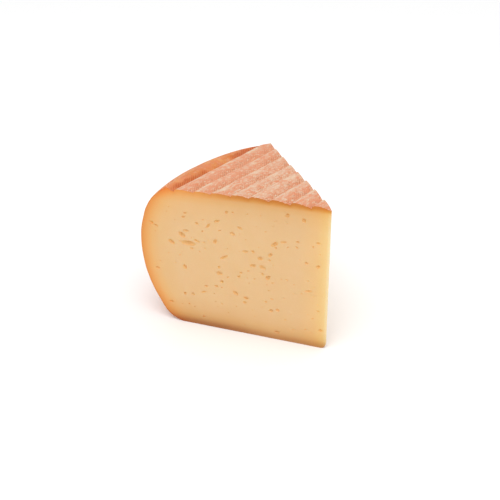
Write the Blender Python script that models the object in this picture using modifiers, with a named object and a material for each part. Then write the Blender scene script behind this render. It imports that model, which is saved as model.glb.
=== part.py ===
"""A wedge of washed-rind bethmale cheese, cut from a low round wheel and standing on its flat base.

Metres, +Z up. The origin is on the base, under the middle of the wedge's box. The first cut face looks to -Y,
its sharp tip is at +X and the wheel's rim at -X. While the wedge is being shaped, the foot of the tip is at
the origin, and it moves to its place at the end.
"""

import math
import random

import bmesh
import bpy
from mathutils import Matrix, Vector

MM = 0.001

# The wheel: its height, and its outer side as (height, radius) from the top face down to the base.
HEIGHT = 95 * MM
SIDE = (
    (95.0 * MM, 118.5 * MM),
    (91.2 * MM, 125.5 * MM),
    (83.6 * MM, 136.0 * MM),
    (71.0 * MM, 141.5 * MM),
    (57.0 * MM, 143.5 * MM),
    (42.8 * MM, 142.5 * MM),
    (28.5 * MM, 138.8 * MM),
    (14.2 * MM, 131.7 * MM),
    (3.8 * MM, 124.2 * MM),
    (0.0, 116.1 * MM),
)
STEPS_BETWEEN_STATIONS = 3
WHEEL_STEPS = 180

# Beside the first cut the shoulder is fuller than a turned one: by how much at the top, and how far from the cut
# and how far down the side that reaches.
SWELL = 6.8 * MM
SWELL_REACH = 34 * MM
SWELL_FOOT = 80 * MM
SWELL_POWER = 1.76

# The wedge: the angle at its tip, and the wheel's centre seen from the tip, which the cuts just miss. The tip's
# edge is sharp, and worn round near its foot.
WEDGE_ANGLE = math.radians(54.4)
WHEEL_CENTRE = Vector((11.25 * MM, 30.5 * MM, 0.0))
TIP_RADIUS = 0.5 * MM
FOOT_RADIUS = 2.2 * MM
FOOT_WEAR_HEIGHT = 5.0 * MM
FOOT_WEAR_LEVELS = (0.0, 0.15, 0.35, 0.65, 1.0)
TIP_STEPS = 4
WELL_CLEAR = 300 * MM

# The ridges that a slatted mat presses into the top. The notches between them are given as distances from the
# tip, and the last one is the furrow where the mat ends, before the smooth shoulder. Each ridge slopes down
# gently towards the tip and steeply towards the rim, and those near the tip are deeper.
NOTCHES = [distance * MM for distance in (0.0, 12.8, 25.8, 38.7, 52.0, 63.5, 77.0, 88.7, 101.6)]
RIDGE_DIRECTION = math.radians(78.5)
RIDGE_DEPTH = 1.1 * MM
RIDGE_DEPTH_AT_TIP = 2.1 * MM
DEEP_RIDGE_REACH = 60 * MM
CREST_UNEVENNESS = 0.3 * MM
NOTCH_UNEVENNESS = 0.2 * MM
GENTLE_SLOPE_POWER = 2.4
STEEP_SLOPE_POWER = 14
RIDGE_STEPS = 8
RIDGE_SEED = 4
FURROW_DEPTH = 2.2 * MM
FURROW_WIDTH = 6.0 * MM
FURROW_STEPS = 5

# The top is a little domed: it rises by the crown towards the tip, which lies near the wheel's middle. The crown
# is full up to its plateau and ends at its foot, as distances from the tip, and is lower away from the first cut.
# Only the uppermost part of the cheese is lifted.
CROWN = 2.1 * MM
CROWN_FOOT = 108 * MM
CROWN_PLATEAU = 40 * MM
CROWN_LOWEST = 84 * MM
CROWN_FULL = 92 * MM
CROWN_SHARE_BEHIND = 0.65
CROWN_BEHIND = (10 * MM, 60 * MM)

# The eyes, which are the small gas holes in the paste. The largest on the first cut face are placed by hand:
# distance from the tip, height, length, width, and the slant of the length in degrees.
LARGE_EYES = (
    (94, 59, 7.8, 2.8, 0),
    (99, 64, 4.4, 2.4, -35),
    (107, 58, 3.8, 2.2, -30),
    (96, 68, 3.8, 1.6, 5),
    (75, 77, 3.4, 1.5, 20),
    (81, 73, 3.4, 1.5, 50),
    (76, 63, 3.2, 2.0, 50),
    (64, 70, 3.0, 1.9, -20),
    (59, 75, 2.8, 1.5, -15),
    (55, 59, 3.2, 1.6, 5),
    (70, 53, 5.2, 1.5, 30),
    (45, 56, 2.8, 2.1, 10),
    (39, 60, 3.0, 1.8, 40),
    (44, 50, 3.8, 1.9, -20),
    (50, 50, 3.6, 1.9, 15),
    (36, 67, 4.2, 2.2, 35),
    (40, 44, 3.2, 2.0, 40),
    (98, 41, 3.2, 2.0, -60),
    (73, 41, 3.8, 2.1, -5),
    (72, 35, 2.4, 2.0, 0),
    (62, 28, 3.6, 2.0, -25),
    (55, 26, 2.9, 1.8, 0),
    (13, 39, 3.6, 1.6, 10),
    (33, 6, 2.8, 1.7, -10),
)
EYE_SEED = 11
SMALL_EYES_FRONT = 14
SMALL_EYES_BACK = 36
SMALL_EYE_LENGTHS = (1.8 * MM, 3.4 * MM)
LARGE_EYE_LENGTH = 3.0 * MM
SMALL_EYE_FLATNESS = (0.5, 0.85)
SMALL_EYE_SLANT = 35
EYE_GAP = 4.5 * MM
EYE_MARGIN = 9 * MM
EYE_DEPTH_SHARE = 0.8

# The rind is the outside of the same cheese, and the paste shows on the cut faces and in the eyes.
RIND_SLOT = 0
RIND_COLOUR = (0.76, 0.36, 0.21, 1.0)
RIND_ROUGHNESS = 0.7
PASTE_SLOT = 1
PASTE_COLOUR = (0.83, 0.56, 0.28, 1.0)
PASTE_ROUGHNESS = 0.45
SHARP_ANGLE = math.radians(30)


def clear_scene():
    for obj in list(bpy.data.objects):
        bpy.data.objects.remove(obj, do_unlink=True)


def new_collection(name):
    collection = bpy.data.collections.new(name)
    bpy.context.scene.collection.children.link(collection)
    return collection


def new_material(name, colour, roughness):
    material = bpy.data.materials.new(name)
    material.use_nodes = True
    shader = material.node_tree.nodes["Principled BSDF"]
    shader.inputs["Base Color"].default_value = colour
    shader.inputs["Roughness"].default_value = roughness
    shader.inputs["Metallic"].default_value = 0.0
    return material


def add_object(name, data, collection):
    obj = bpy.data.objects.new(name, data)
    collection.objects.link(obj)
    return obj


def make_cutter(name, mesh, slot):
    """A helper that shapes the wedge. Its faces say which of the wedge's materials the cut takes."""
    for polygon in mesh.polygons:
        polygon.material_index = slot
    obj = add_object(name, mesh, cutters)
    obj.hide_render = True
    obj.display_type = "WIRE"
    return obj


def smooth_curve(stations, steps):
    """Points of a curve that passes through each station and bends evenly between them."""
    points = [Vector(station) for station in stations]
    ends = [2 * points[0] - points[1], *points, 2 * points[-1] - points[-2]]
    curve = []
    for before, start, end, after in zip(ends, ends[1:], ends[2:], ends[3:]):
        for step in range(steps):
            t = step / steps
            leave = (end - before) / 2
            arrive = (after - start) / 2
            curve.append(
                (2 * t**3 - 3 * t**2 + 1) * start
                + (t**3 - 2 * t**2 + t) * leave
                + (3 * t**2 - 2 * t**3) * end
                + (t**3 - t**2) * arrive
            )
    return [*curve, points[-1]]


def make_wheel():
    """The whole wheel: its half profile, turned round the middle."""
    side = smooth_curve(SIDE, STEPS_BETWEEN_STATIONS)
    profile = [(0.0, HEIGHT), *((radius, height) for height, radius in side), (0.0, 0.0)]
    mesh = bpy.data.meshes.new("cheese_wedge")
    mesh.from_pydata(
        [(radius, 0.0, height) for radius, height in profile],
        [(i, i + 1) for i in range(len(profile) - 1)],
        [],
    )
    mesh.materials.append(new_material("rind", RIND_COLOUR, RIND_ROUGHNESS))
    mesh.materials.append(new_material("paste", PASTE_COLOUR, PASTE_ROUGHNESS))
    wheel = add_object("cheese_wedge", mesh, parts)
    wheel.location = WHEEL_CENTRE
    screw = wheel.modifiers.new("turn", "SCREW")
    screw.steps = WHEEL_STEPS
    screw.render_steps = WHEEL_STEPS
    screw.use_merge_vertices = True
    screw.merge_threshold = 0.01 * MM
    wheel.data = plain_mesh(wheel, "cheese_wedge")
    wheel.modifiers.clear()
    swell_shoulder(wheel.data)
    return wheel


def swell_shoulder(mesh):
    """Moves the shoulder of the whole wheel outwards beside the first cut."""
    for vertex in mesh.vertices:
        from_cut = max(0.0, vertex.co.y + WHEEL_CENTRE.y)
        near_cut = max(0.0, 1.0 - from_cut / SWELL_REACH) ** 2
        near_top = max(0.0, (vertex.co.z - SWELL_FOOT) / (HEIGHT - SWELL_FOOT)) ** SWELL_POWER
        outward = Vector((vertex.co.x, vertex.co.y, 0.0)).normalized()
        vertex.co += outward * SWELL * near_cut * near_top


def tip_radius_at(height):
    """The roundness of the tip's edge, which grows down at its foot."""
    wear = max(0.0, 1.0 - height / FOOT_WEAR_HEIGHT)
    return TIP_RADIUS + (FOOT_RADIUS - TIP_RADIUS) * wear**2


def wedge_outline(radius):
    """The wedge seen from above: the rounded tip, then far corners outside the wheel."""
    half = WEDGE_ANGLE / 2
    inward = Vector((-math.cos(half), math.sin(half)))
    centre = inward * radius / math.sin(half)
    turn = math.pi - WEDGE_ANGLE
    arc = [
        centre + radius * Vector((math.cos(angle), math.sin(angle)))
        for angle in (-math.pi / 2 + turn * step / TIP_STEPS for step in range(TIP_STEPS + 1))
    ]
    second_cut = Vector((-math.cos(WEDGE_ANGLE), math.sin(WEDGE_ANGLE)))
    return [*arc, second_cut * WELL_CLEAR, inward * 2 * WELL_CLEAR, Vector((-WELL_CLEAR, 0.0))]


def make_wedge_tool():
    """The two knife cuts as one tall prism: what lies inside it stays."""
    wear_levels = [FOOT_WEAR_HEIGHT * share for share in FOOT_WEAR_LEVELS]
    levels = [-HEIGHT, *wear_levels, 2 * HEIGHT]
    shape = bmesh.new()
    rings = [
        [shape.verts.new((*point, level)) for point in wedge_outline(tip_radius_at(max(level, 0.0)))]
        for level in levels
    ]
    count = len(rings[0])
    for lower, upper in zip(rings, rings[1:]):
        for i in range(count):
            after = (i + 1) % count
            shape.faces.new((lower[i], lower[after], upper[after], upper[i]))
    shape.faces.new(list(reversed(rings[0])))
    shape.faces.new(rings[-1])
    bmesh.ops.recalc_face_normals(shape, faces=shape.faces)
    mesh = bpy.data.meshes.new("wedge_tool")
    shape.to_mesh(mesh)
    shape.free()
    return make_cutter("wedge_tool", mesh, PASTE_SLOT)


def ridge_line():
    """Points (distance from the tip, height) of the ridged top, from past the tip to the end of the furrow."""
    draw = random.Random(RIDGE_SEED)
    before_tip = NOTCHES[0] - NOTCHES[1]
    line = []
    for start, end in zip([before_tip, *NOTCHES], NOTCHES):
        near_tip = min(1.0, max(0.0, 1.0 - start / DEEP_RIDGE_REACH))
        depth = RIDGE_DEPTH + (RIDGE_DEPTH_AT_TIP - RIDGE_DEPTH) * near_tip
        notch = HEIGHT - depth + NOTCH_UNEVENNESS * draw.random()
        crest = HEIGHT - CREST_UNEVENNESS * draw.random()
        for step in range(RIDGE_STEPS):
            share = step / RIDGE_STEPS
            gentle = 1.0 - (1.0 - share) ** GENTLE_SLOPE_POWER
            steep = 1.0 - share**STEEP_SLOPE_POWER
            line.append((start + (end - start) * share, notch + (crest - notch) * gentle * steep))
    for step in range(FURROW_STEPS + 1):
        share = step / FURROW_STEPS
        fall = FURROW_DEPTH * (0.5 + 0.5 * math.cos(math.pi * share))
        line.append((NOTCHES[-1] + FURROW_WIDTH * share, HEIGHT - fall))
    return line


def make_mat_tool():
    """The slatted mat's print: a long block whose underside is the ridged line."""
    line = ridge_line()
    above = 1.1 * HEIGHT
    outline = [*line, (line[-1][0], above), (line[0][0], above)]
    curve = bpy.data.curves.new("mat_outline", "CURVE")
    curve.dimensions = "2D"
    curve.fill_mode = "BOTH"
    curve.extrude = WELL_CLEAR / 2
    spline = curve.splines.new("POLY")
    spline.points.add(len(outline) - 1)
    for point, (distance, height) in zip(spline.points, outline):
        point.co = (distance, height, 0.0, 1.0)
    spline.use_cyclic_u = True
    guide = add_object("mat_outline", curve, cutters)
    across = Vector((-math.sin(RIDGE_DIRECTION), math.cos(RIDGE_DIRECTION), 0.0))
    up = Vector((0.0, 0.0, 1.0))
    along = across.cross(up)
    placed = Matrix((across, up, along)).transposed().to_4x4()
    mesh = plain_mesh(guide, "mat_tool")
    close_seams(mesh)
    mesh.transform(Matrix.Translation(along * WELL_CLEAR / 4) @ placed)
    bpy.data.objects.remove(guide, do_unlink=True)
    return make_cutter("mat_tool", mesh, RIND_SLOT)


def plain_mesh(obj, name):
    """The object's shape as a mesh of its own, with its modifiers worked in."""
    graph = bpy.context.evaluated_depsgraph_get()
    mesh = bpy.data.meshes.new_from_object(obj.evaluated_get(graph))
    mesh.name = name
    return mesh


def close_seams(mesh):
    """Joins a filled curve's caps to its sides, with every face pointing out."""
    shape = bmesh.new()
    shape.from_mesh(mesh)
    bmesh.ops.remove_doubles(shape, verts=shape.verts, dist=0.001 * MM)
    bmesh.ops.recalc_face_normals(shape, faces=shape.faces)
    shape.to_mesh(mesh)
    shape.free()


def cut_reach(direction, height):
    """How far the wheel reaches from the tip, along a cut in that direction, at that height."""
    low = next(i for i in range(1, len(SIDE)) if SIDE[i][0] <= height)
    (upper, wide), (lower, narrow) = SIDE[low - 1], SIDE[low]
    radius = narrow + (wide - narrow) * (height - lower) / (upper - lower)
    middle = WHEEL_CENTRE.xy.dot(direction)
    return middle + math.sqrt(middle**2 - WHEEL_CENTRE.xy.length_squared + radius**2)


def scattered_eyes(draw, direction, count, taken):
    """Small eyes at random places of a cut face, clear of the rind and of the eyes already there."""
    eyes = list(taken)
    wanted = len(eyes) + count
    while len(eyes) < wanted:
        height = draw.uniform(EYE_MARGIN, HEIGHT - EYE_MARGIN)
        distance = draw.uniform(EYE_MARGIN, cut_reach(direction, height) - 1.5 * EYE_MARGIN)
        length = SMALL_EYE_LENGTHS[0] + (SMALL_EYE_LENGTHS[1] - SMALL_EYE_LENGTHS[0]) * draw.random() ** 2
        width = length * draw.uniform(*SMALL_EYE_FLATNESS)
        slant = math.radians(draw.uniform(-SMALL_EYE_SLANT, SMALL_EYE_SLANT))
        if all(math.hypot(distance - other[0], height - other[1]) > EYE_GAP for other in eyes):
            eyes.append((distance, height, length, width, slant))
    return eyes


def add_eye(shape, direction, eye):
    """One gas hole: a flattened round, centred on the cut face. A larger one has more sides."""
    distance, height, length, width, slant = eye
    along = Vector((*direction, 0.0))
    into_face = Vector((direction.y, -direction.x, 0.0))
    frame = Matrix((along, into_face, Vector((0.0, 0.0, 1.0)))).transposed().to_4x4()
    middle = along * distance + Vector((0.0, 0.0, height))
    size = Matrix.Diagonal((length / 2, width * EYE_DEPTH_SHARE, width / 2, 1.0))
    place = Matrix.Translation(middle) @ frame @ Matrix.Rotation(slant, 4, "Y") @ size
    subdivisions = 2 if length > LARGE_EYE_LENGTH else 1
    bmesh.ops.create_icosphere(shape, subdivisions=subdivisions, radius=1.0, matrix=place)


def make_eye_tool():
    """All the eyes of both cut faces together."""
    draw = random.Random(EYE_SEED)
    first_cut = Vector((-1.0, 0.0))
    second_cut = Vector((-math.cos(WEDGE_ANGLE), math.sin(WEDGE_ANGLE)))
    large = [
        (distance * MM, height * MM, length * MM, width * MM, math.radians(slant))
        for distance, height, length, width, slant in LARGE_EYES
    ]
    shape = bmesh.new()
    for eye in scattered_eyes(draw, first_cut, SMALL_EYES_FRONT, large):
        add_eye(shape, first_cut, eye)
    for eye in scattered_eyes(draw, second_cut, SMALL_EYES_BACK, []):
        add_eye(shape, second_cut, eye)
    bmesh.ops.recalc_face_normals(shape, faces=shape.faces)
    mesh = bpy.data.meshes.new("eye_tool")
    shape.to_mesh(mesh)
    shape.free()
    return make_cutter("eye_tool", mesh, PASTE_SLOT)


def add_boolean(obj, name, operation, tool):
    modifier = obj.modifiers.new(name, "BOOLEAN")
    modifier.operation = operation
    modifier.solver = "EXACT"
    modifier.object = tool


def ease(value, start, end):
    """Rises smoothly from 0 at the start to 1 at the end."""
    share = min(1.0, max(0.0, (value - start) / (end - start)))
    return share**2 * (3 - 2 * share)


def dome_top(mesh):
    """Lifts the top of the wedge towards the tip, which is at the origin."""
    for vertex in mesh.vertices:
        near_tip = ease(vertex.co.xy.length, CROWN_FOOT, CROWN_PLATEAU)
        near_top = ease(vertex.co.z, CROWN_LOWEST, CROWN_FULL)
        behind = 1.0 - (1.0 - CROWN_SHARE_BEHIND) * ease(vertex.co.y, *CROWN_BEHIND)
        vertex.co.z += CROWN * near_tip * near_top * behind


def stand_over_origin(wedge):
    """The finished mesh, moved so that the middle of its box is over the origin, with its base at zero."""
    mesh = plain_mesh(wedge, "cheese_wedge")
    mesh.transform(wedge.matrix_world)
    dome_top(mesh)
    wedge.modifiers.clear()
    wedge.data = mesh
    wedge.location = (0.0, 0.0, 0.0)
    corners = [vertex.co for vertex in mesh.vertices]
    lowest = Vector([min(corner[axis] for corner in corners) for axis in range(3)])
    highest = Vector([max(corner[axis] for corner in corners) for axis in range(3)])
    middle = (lowest + highest) / 2
    shift = Vector((-middle.x, -middle.y, -lowest.z))
    mesh.transform(Matrix.Translation(shift))
    mesh.shade_smooth()
    mesh.set_sharp_from_angle(angle=SHARP_ANGLE)
    return shift


clear_scene()
parts = new_collection("bethmale_cheese")
cutters = new_collection("cutters")
cheese = make_wheel()
add_boolean(cheese, "mat print", "DIFFERENCE", make_mat_tool())
add_boolean(cheese, "knife cuts", "INTERSECT", make_wedge_tool())
add_boolean(cheese, "eyes", "DIFFERENCE", make_eye_tool())
tip_place = stand_over_origin(cheese)
for cutter in cutters.objects:
    cutter.data.transform(Matrix.Translation(tip_place))
print("tip's foot at", [round(value / MM, 2) for value in tip_place], "mm")
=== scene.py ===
"""A wedge of washed-rind bethmale cheese, dressed for its picture on a plain pale table.

Its shape is worked out in millimetres, with the foot of the tip at the origin, the first knife cut along -X
and the base at height 0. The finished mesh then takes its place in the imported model's frame, in metres.
"""

import math

import bpy
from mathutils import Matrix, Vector


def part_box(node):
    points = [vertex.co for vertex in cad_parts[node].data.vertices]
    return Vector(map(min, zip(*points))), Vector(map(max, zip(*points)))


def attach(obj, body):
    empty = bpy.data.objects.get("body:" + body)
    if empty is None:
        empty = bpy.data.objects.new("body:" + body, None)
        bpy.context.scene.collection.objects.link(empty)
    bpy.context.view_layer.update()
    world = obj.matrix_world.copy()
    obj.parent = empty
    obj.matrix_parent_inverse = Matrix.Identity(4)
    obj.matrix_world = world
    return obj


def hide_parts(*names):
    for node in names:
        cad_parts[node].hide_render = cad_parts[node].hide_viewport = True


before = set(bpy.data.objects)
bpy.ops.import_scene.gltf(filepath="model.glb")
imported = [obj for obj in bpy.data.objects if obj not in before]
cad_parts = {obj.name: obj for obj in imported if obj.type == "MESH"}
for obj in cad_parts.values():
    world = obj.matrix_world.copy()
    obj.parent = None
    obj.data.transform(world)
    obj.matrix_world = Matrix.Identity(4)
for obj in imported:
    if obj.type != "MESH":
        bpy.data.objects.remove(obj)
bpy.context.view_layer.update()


# The wheel. Pressed curd sags as it ripens, so its side bulges under a round shoulder and draws in again to a
# narrower foot. Beside the first cut the shoulder stands fuller. It is one body of cheese, and its washed
# outside has dried to the rind. Each row of SIDE has a height and the wheel's radius there.
MM = 0.001
HEIGHT = 95.0
SIDE = (
    (0.0, 116.1),
    (3.8, 124.2),
    (14.2, 131.7),
    (28.5, 138.8),
    (42.8, 142.5),
    (57.0, 143.5),
    (71.0, 141.5),
    (83.6, 136.0),
    (91.2, 125.5),
    (95.0, 118.5),
)
WIDEST = 150.0
SWELL = 6.8
SWELL_REACH = 34.0
SWELL_FOOT = 80.0
SWELL_POWER = 1.76
SAG = 0.7
SAG_LENGTH = 28.0
WRINKLE = 0.16
WRINKLE_LENGTH = 5.0
WHEEL_CENTRE = (11.25, 30.5, 0.0)
WHEEL_STEPS = 760
SIDE_STEPS = 112
ROW_CROWDING = 0.7

# What a face belongs to, as a number that it keeps through the cuts.
RIND_LAYER = 0.0
PASTE_LAYER = 1.0
EYE_LAYER = 2.0


class Wire:
    """The output of a node. Sums and products of wires add the Math nodes that work them out."""

    def __init__(self, tree, socket):
        self.tree = tree
        self.socket = socket

    def __add__(self, other):
        return maths("ADD", self, other)

    def __radd__(self, other):
        return maths("ADD", other, self)

    def __sub__(self, other):
        return maths("SUBTRACT", self, other)

    def __rsub__(self, other):
        return maths("SUBTRACT", other, self)

    def __mul__(self, other):
        return maths("MULTIPLY", self, other)

    def __rmul__(self, other):
        return maths("MULTIPLY", other, self)

    def __truediv__(self, other):
        return maths("DIVIDE", self, other)

    def __pow__(self, other):
        return maths("POWER", self, other)


def tree_of(*values):
    return next(value.tree for value in values if isinstance(value, Wire))


def feed(socket, value):
    """Gives an input a fixed value, or links the wire that carries it."""
    if isinstance(value, Wire):
        value.tree.links.new(value.socket, socket)
    else:
        socket.default_value = value


def add_node(tree, kind, inputs=None, **settings):
    """A node with its settings made, and its inputs fed by name or by number."""
    node = tree.nodes.new(kind)
    for name, value in settings.items():
        setattr(node, name, value)
    for key, value in (inputs or {}).items():
        feed(node.inputs[key], value)
    return node


def wire(node, output=0):
    return Wire(node.id_data, node.outputs[output])


def maths(operation, *values):
    return wire(add_node(tree_of(*values), "ShaderNodeMath", dict(enumerate(values)), operation=operation))


def sine(value):
    return maths("SINE", value)


def vector_maths(operation, *values, output=0):
    node = add_node(tree_of(*values), "ShaderNodeVectorMath", dict(enumerate(values)), operation=operation)
    return wire(node, output)


def scaled(direction, amount):
    tree = tree_of(direction, amount)
    return wire(add_node(tree, "ShaderNodeVectorMath", {0: direction, "Scale": amount}, operation="SCALE"))


def vector(tree, x, y, z):
    return wire(add_node(tree, "ShaderNodeCombineXYZ", {0: x, 1: y, 2: z}))


def parts_of(vector_wire):
    node = add_node(vector_wire.tree, "ShaderNodeSeparateXYZ", {0: vector_wire})
    return [wire(node, axis) for axis in range(3)]


def spread(value, low, high, to_low=0.0, to_high=1.0, smooth=True):
    """The value carried from one range to another, held at both ends."""
    kind = "SMOOTHSTEP" if smooth else "LINEAR"
    inputs = {"Value": value, "From Min": low, "From Max": high, "To Min": to_low, "To Max": to_high}
    return wire(add_node(value.tree, "ShaderNodeMapRange", inputs, interpolation_type=kind))


def follow_curve(value, points, low, high, straight=False):
    """Reads a curve drawn through points (place, level). Its levels lie between low and high."""
    node = add_node(value.tree, "ShaderNodeFloatCurve")
    first, last = points[0][0], points[-1][0]
    drawn = node.mapping.curves[0].points
    while len(drawn) < len(points):
        drawn.new(0.5, 0.5)
    for point, (place, level) in zip(drawn, points):
        point.location = ((place - first) / (last - first), (level - low) / (high - low))
        point.handle_type = "VECTOR" if straight else "AUTO"
    node.mapping.update()
    feed(node.inputs["Value"], (value - first) / (last - first))
    return wire(node) * (high - low) + low


def noise(point, size, detail=2.0, roughness=0.5, output=0):
    """Cloudy unevenness from 0 to 1, in patches of about that size."""
    inputs = {"Vector": point, "Scale": 1.0 / size, "Detail": detail, "Roughness": roughness}
    return wire(add_node(point.tree, "ShaderNodeTexNoise", inputs), output)


def new_group(name, kind, inputs, outputs):
    """A node group with named sockets: its tree, its inputs as wires, and its output node."""
    tree = bpy.data.node_groups.new(name, kind)
    for label, socket_type, default in inputs:
        item = tree.interface.new_socket(name=label, in_out="INPUT", socket_type=socket_type)
        if default is not None:
            item.default_value = default
    for label, socket_type in outputs:
        tree.interface.new_socket(name=label, in_out="OUTPUT", socket_type=socket_type)
    source = tree.nodes.new("NodeGroupInput")
    wires = {label: Wire(tree, source.outputs[label]) for label, _, _ in inputs}
    return tree, wires, tree.nodes.new("NodeGroupOutput")


def own_place(tree):
    """Where each point of a mesh lies."""
    return wire(add_node(tree, "GeometryNodeInputPosition"))


def move_points(geometry, **where):
    """Moves every point, to a Position or by an Offset."""
    return wire(add_node(geometry.tree, "GeometryNodeSetPosition", {"Geometry": geometry, **where}))


def store(geometry, domain, name, value):
    """Writes a number on every face or point, which stays there through the cuts."""
    inputs = {"Geometry": geometry, "Name": name, "Value": value}
    settings = {"data_type": "FLOAT", "domain": domain}
    return wire(add_node(geometry.tree, "GeometryNodeStoreNamedAttribute", inputs, **settings))


def radius_at(height):
    return follow_curve(height, SIDE, 0.0, WIDEST)


def swell_at(height, from_cut):
    """How much fuller than a turned wheel the shoulder is, at a height and a distance behind the cut."""
    near_cut = spread(from_cut, 0.0, SWELL_REACH, 1.0, 0.0, smooth=False) ** 2.0
    near_top = spread(height, SWELL_FOOT, HEIGHT, smooth=False) ** SWELL_POWER
    return near_cut * near_top * SWELL


wheel_shape, sizes, result = new_group(
    "turned wheel",
    "GeometryNodeTree",
    [
        ("Height", "NodeSocketFloat", HEIGHT),
        ("Centre", "NodeSocketVector", WHEEL_CENTRE),
        ("Sag", "NodeSocketFloat", SAG),
        ("Wrinkle", "NodeSocketFloat", WRINKLE),
    ],
    [("Mesh", "NodeSocketGeometry")],
)
drum = add_node(
    wheel_shape,
    "GeometryNodeMeshCylinder",
    {"Vertices": WHEEL_STEPS, "Side Segments": SIDE_STEPS, "Radius": 1.0, "Depth": 1.0},
    fill_type="NGON",
)
drum_x, drum_y, drum_z = parts_of(own_place(wheel_shape))
row = drum_z + 0.5
side_height = (row - sine(row * math.tau) * (ROW_CROWDING / math.tau)) * sizes["Height"]
outward = vector_maths("NORMALIZE", vector(wheel_shape, drum_x, drum_y, 0.0))
upward = vector(wheel_shape, 0.0, 0.0, side_height)
smooth_side = vector_maths("ADD", scaled(outward, radius_at(side_height)), upward)
_, behind_cut, _ = parts_of(vector_maths("ADD", smooth_side, sizes["Centre"]))
swell = swell_at(side_height, behind_cut)
sag = (noise(smooth_side, SAG_LENGTH, 1.0) - 0.5) * sizes["Sag"]
wrinkle = (noise(smooth_side, WRINKLE_LENGTH, 3.0, 0.6) - 0.5) * sizes["Wrinkle"]
uneven_side = vector_maths("ADD", smooth_side, scaled(outward, swell + sag + wrinkle))
turned = move_points(wire(drum), Position=vector_maths("ADD", uneven_side, sizes["Centre"]))
feed(result.inputs["Mesh"], store(turned, "FACE", "layer", RIND_LAYER))


# The print of the mat. The young wheel drains on a mat of slats, which press low ridges into its top. Each
# slopes down gently towards the tip and steeply towards the rim, and a furrow runs where the mat ends. The
# whole top is a little domed: it rises towards the tip, which lies near the wheel's middle.
RIDGE_DIRECTION = math.radians(78.5)
ALONG_RIDGES = (math.cos(RIDGE_DIRECTION), math.sin(RIDGE_DIRECTION), 0.0)
ACROSS_RIDGES = (-math.sin(RIDGE_DIRECTION), math.cos(RIDGE_DIRECTION), 0.0)
NOTCHES = (-12.8, 0.0, 12.8, 25.8, 38.7, 52.0, 63.5, 77.0, 88.7, 101.6, 107.6)
FIRST_RIDGE = -1
LAST_NOTCH = 8
FURROW_END = 9
STEPS_ACROSS_RIDGE = 26
RIDGE_CROWDING = 0.5
MAT_REACH = (-40.0, 130.0)
MAT_THICKNESS = 20.0
STEPS_ALONG_RIDGES = 260
GENTLE_SLOPE_POWER = 2.4
STEEP_SLOPE_POWER = 14.0
RIDGE_DEPTH = 0.9
RIDGE_DEPTH_AT_TIP = 2.1
DEEP_RIDGE_REACH = 60.0
CREST_UNEVENNESS = 0.5
CREST_LENGTH = 18.0
CREST_SLICE = 40.0
NOTCH_UNEVENNESS = 0.6
NOTCH_LENGTH = 13.0
NOTCH_SLICE = 90.0
SLAT_WOBBLE = 1.6
SLAT_WOBBLE_LENGTH = 24.0
GRAIN = 0.22
GRAIN_LENGTH = 2.6
FURROW_DEPTH = 2.2
FURROW_CLEARANCE = 0.4
FURROW_TILT = 2.8 / 115.0
FURROW_TILT_START = -20.0
CROWN = 2.1
CROWN_FOOT = 108.0
CROWN_PLATEAU = 40.0
CROWN_LOWEST = 84.0
CROWN_FULL = 92.0
CROWN_SHARE_BEHIND = 0.65
CROWN_BEHIND = (10.0, 60.0)


def cosine(value):
    return maths("COSINE", value)


def at_least(value, floor):
    return maths("MAXIMUM", value, floor)


def level_distance(place):
    """How far a place lies from the origin, whatever its height."""
    return vector_maths("LENGTH", vector_maths("MULTIPLY", place, (1.0, 1.0, 0.0)), output=1)


def mat_wobble(across, along):
    """How far a slat strays sideways along its length. The last one lies a little askew."""
    skew = (along - FURROW_TILT_START) * FURROW_TILT * spread(across, NOTCHES[-4], NOTCHES[-2])
    wobble = noise(vector(across.tree, across, along, 0.0), SLAT_WOBBLE_LENGTH, 2.0) - 0.5
    return wobble * SLAT_WOBBLE + skew


def crown_at(place):
    """How far the domed top lifts the cheese at a place."""
    _, behind_cut, height = parts_of(place)
    near_tip = spread(level_distance(place), CROWN_FOOT, CROWN_PLATEAU)
    share_behind = spread(behind_cut, *CROWN_BEHIND, 1.0, CROWN_SHARE_BEHIND)
    return near_tip * share_behind * spread(height, CROWN_LOWEST, CROWN_FULL) * CROWN


def print_depth(ridge, across, along):
    """How far the printed top lies under the wheel's full height."""
    share = ridge - maths("FLOOR", ridge)
    gentle = 1.0 - (1.0 - share) ** GENTLE_SLOPE_POWER
    arch = gentle * (1.0 - share**STEEP_SLOPE_POWER)
    crest_place = vector(ridge.tree, across, along, CREST_SLICE)
    notch_place = vector(ridge.tree, across, along, NOTCH_SLICE)
    crest = noise(crest_place, CREST_LENGTH, 1.0) * CREST_UNEVENNESS
    regular = spread(across, 0.0, DEEP_RIDGE_REACH, RIDGE_DEPTH_AT_TIP, RIDGE_DEPTH, smooth=False)
    notch = regular + noise(notch_place, NOTCH_LENGTH, 1.0) * NOTCH_UNEVENNESS
    deepening = spread(ridge, LAST_NOTCH - 0.5, LAST_NOTCH)
    notch_depth = notch + (FURROW_DEPTH - notch - crest) * deepening
    ridged = crest + notch_depth * (1.0 - arch)
    beyond = at_least(ridge - LAST_NOTCH, 0.0)
    furrow = (0.5 + 0.5 * cosine(beyond * math.pi)) * FURROW_DEPTH - beyond * FURROW_CLEARANCE
    return ridged + (furrow - ridged) * maths("GREATER_THAN", ridge, LAST_NOTCH)


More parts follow.
